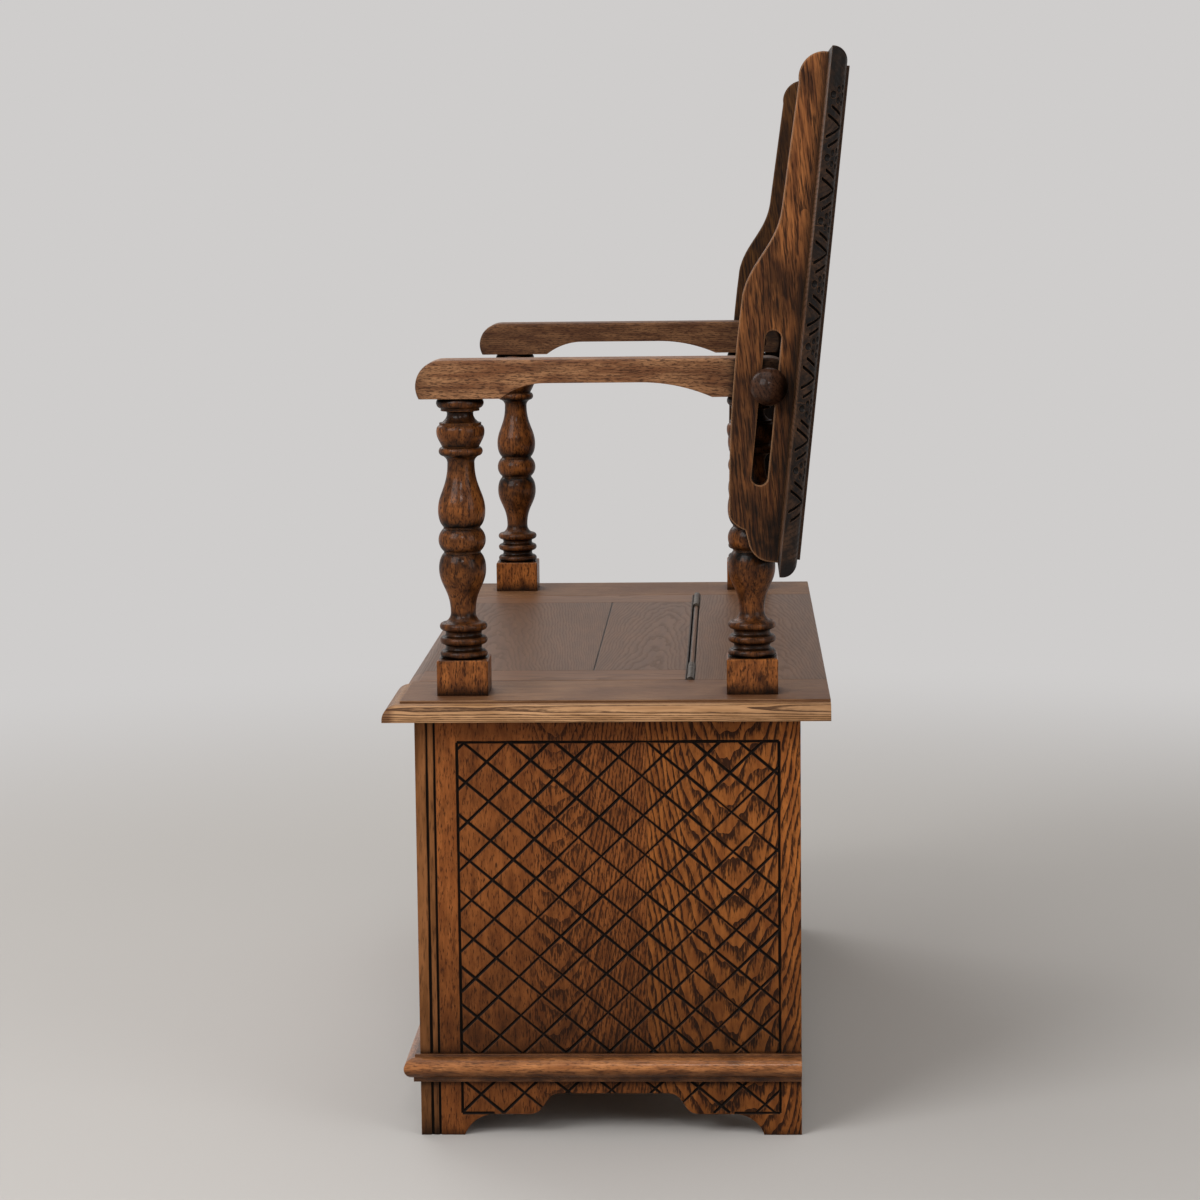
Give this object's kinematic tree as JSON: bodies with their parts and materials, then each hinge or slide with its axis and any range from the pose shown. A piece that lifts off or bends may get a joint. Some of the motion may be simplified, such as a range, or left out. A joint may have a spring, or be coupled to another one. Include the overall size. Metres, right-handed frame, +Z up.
{
  "type": "monks bench",
  "caption": "Oak monks bench: box seat with a lift-up lid, turned posts, shaped arms and a slotted back that tilts over on pegs to become a table top.",
  "frame": {"origin": "middle of the bench's overall length and depth, on the floor", "axes": "+X along the bench to the end that the picture shows, -Y out of its front where a sitter's legs are, +Z up from the floor"},
  "size_m": [1.067, 0.4272, 1.0022],
  "materials": {
    "oak": "satin",
    "figured_oak": "satin",
    "turned_oak": "polished",
    "dark_oak": "satin",
    "inside_oak": "dry",
    "hinge_steel": "dull"
  },
  "bodies": {
    "frame": {"end_board_front_left": "figured_oak", "end_board_front_right": "figured_oak", "end_board_rear_left": "figured_oak", "end_board_rear_right": "figured_oak", "front_stile_left": "oak", "front_stile_right": "oak", "front_top_rail": "oak", "front_bottom_rail": "oak", "front_muntin": "oak", "front_panel_left": "oak", "front_panel_right": "oak", "back_board_upper": "inside_oak", "back_board_lower": "inside_oak", "bottom_board_front": "inside_oak", "bottom_board_rear": "inside_oak", "bottom_bearer_left": "inside_oak", "bottom_bearer_right": "inside_oak", "bottom_bearer_front": "inside_oak", "bottom_bearer_back": "inside_oak", "base_moulding_front": "oak", "base_moulding_left": "oak", "base_moulding_right": "oak", "seat_end_rail_left": "oak", "seat_end_rail_right": "oak", "seat_back_board": "oak", "seat_batten_left": "inside_oak", "seat_batten_right": "inside_oak", "post_front_left": "turned_oak", "post_front_right": "turned_oak", "post_rear_left": "turned_oak", "post_rear_right": "turned_oak", "arm_left": "oak", "arm_right": "oak", "hinge_seat_leaves": "hinge_steel", "hinge_pins": "hinge_steel", "hinge_seat_screws": "hinge_steel"},
    "lid": {"lid_front_board": "oak", "lid_rear_board": "oak", "lid_end_clamp_left": "oak", "lid_end_clamp_right": "oak", "hinge_lid_leaves": "hinge_steel", "hinge_lid_screws": "hinge_steel"},
    "pivot_pegs": {"pivot_peg_left": "turned_oak", "pivot_peg_right": "turned_oak"},
    "table_top": {"table_board_upper": "dark_oak", "table_board_middle": "dark_oak", "table_board_lower": "dark_oak", "cleat_left": "dark_oak", "cleat_right": "dark_oak", "cleat_screws": "hinge_steel"}
  },
  "joints": [
    {"name": "lid_hinge", "type": "hinge", "parent": "frame", "child": "lid", "pos_m": [0, 0.06838, 0.4145], "axis": [-1, 0, 0], "range_deg": [0, 108]},
    {"name": "top_tilt", "type": "hinge", "parent": "frame", "child": "pivot_pegs", "pos_m": [0, 0.14288, 0.7023], "axis": [1, 0, 0], "range_deg": [0, 95.9]},
    {"name": "top_slide", "type": "slide", "parent": "pivot_pegs", "child": "table_top", "axis": [0, 0.1028, 0.9947], "range_m": [-0.042, 0.0835]}
  ]
}
